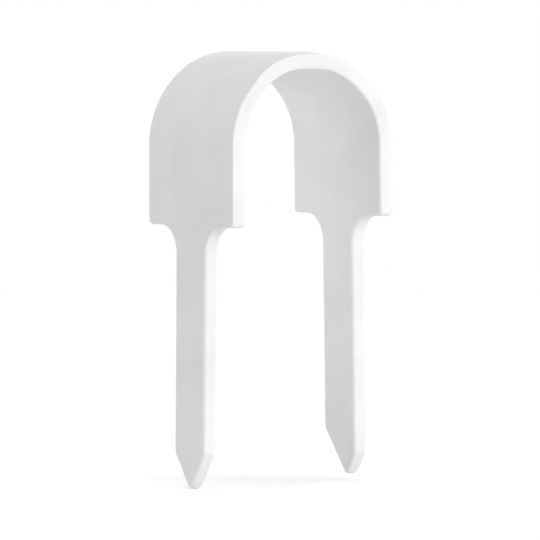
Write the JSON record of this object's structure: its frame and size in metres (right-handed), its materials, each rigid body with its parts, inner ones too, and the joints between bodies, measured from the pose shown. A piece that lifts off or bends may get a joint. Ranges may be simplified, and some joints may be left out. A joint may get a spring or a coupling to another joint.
{
  "type": "nail-in cable clip",
  "caption": "U-shaped cable clip bent from a white-coated steel strip: a round arch over the cable, square shoulders that stop on the wall and flat pointed prongs that nail in.",
  "frame": {"origin": "on the wall plane, midway between the prongs and midway across the strap", "axes": "+Z away from the wall to the arch's crown, Y along the cable with the front at -Y, X from the left prong to the right one"},
  "size_m": [0.0154, 0.0124, 0.0347],
  "materials": {
    "white_coat": "white satin coat over stamped sheet steel, soft at the cut edges"
  },
  "bodies": {
    "root": {"cable_clip": "white_coat"}
  },
  "joints": []
}
